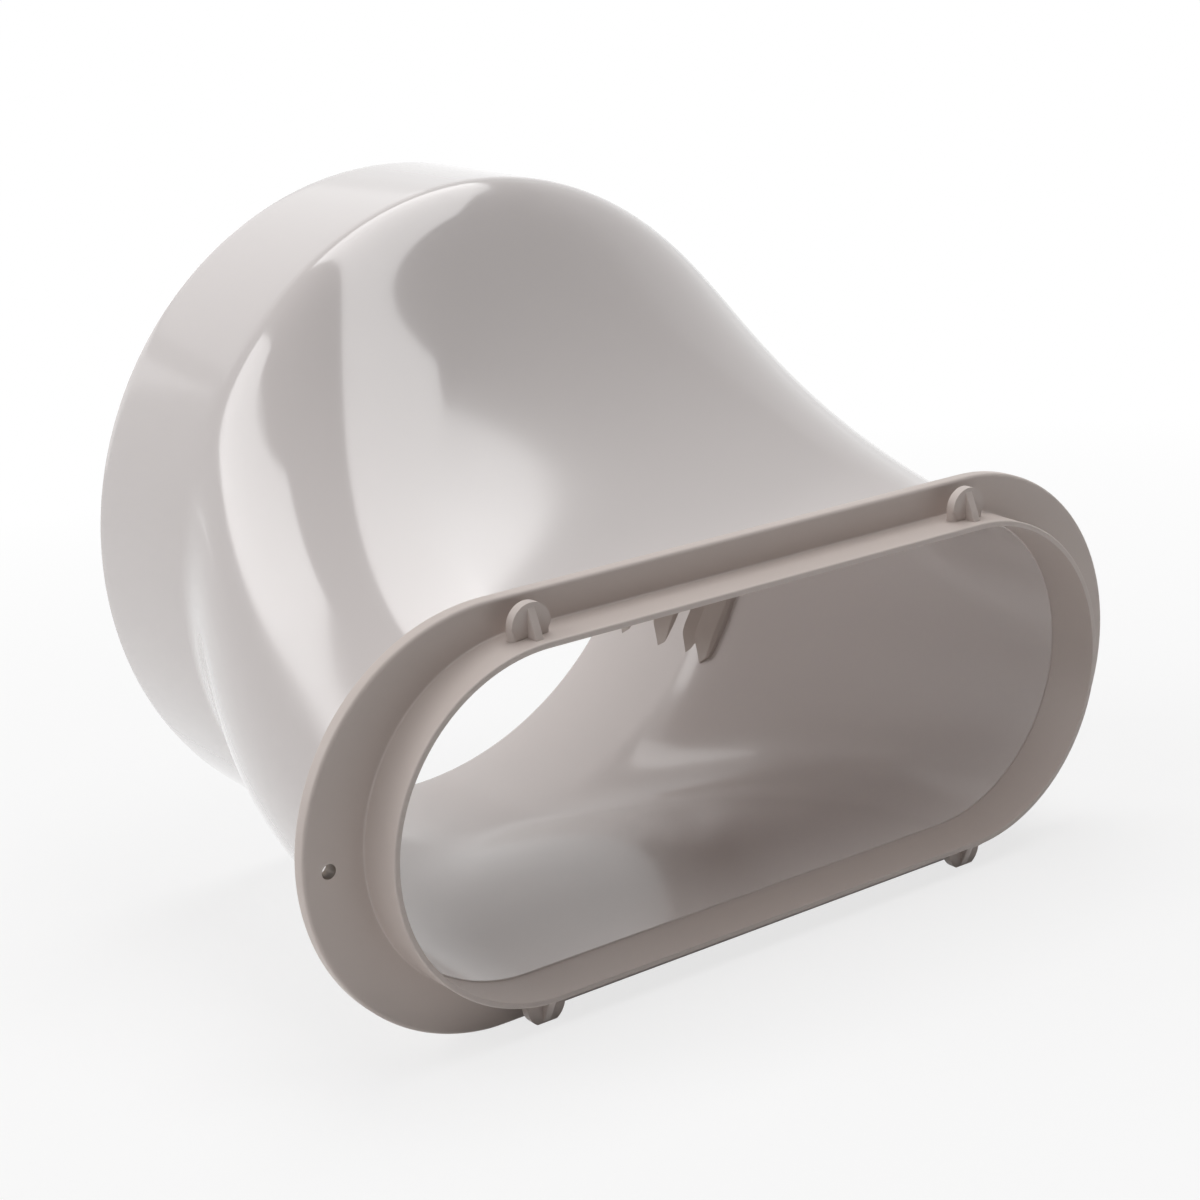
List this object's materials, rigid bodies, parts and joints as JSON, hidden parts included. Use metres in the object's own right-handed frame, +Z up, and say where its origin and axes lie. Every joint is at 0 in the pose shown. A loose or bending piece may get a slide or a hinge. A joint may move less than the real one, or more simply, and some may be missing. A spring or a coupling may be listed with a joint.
{
  "type": "exhaust hose adapter",
  "caption": "Moulded adapter that joins a round exhaust hose to a flat, round-ended slot in a panel, with a swept transition, a screw flange and a spigot with snap lugs.",
  "frame": {"origin": "middle of the flange's panel face, half way between its two screw holes", "axes": "+X along the flange's long side, +Z up from the flange's middle towards the side where the hose collar stands higher, +Y from the panel face towards the hose collar's rim"},
  "size_m": [0.21, 0.1372, 0.156],
  "materials": {
    "shell": "smooth glossy moulding, warm light grey"
  },
  "bodies": {
    "root": {"adapter_body": "shell"}
  },
  "joints": []
}
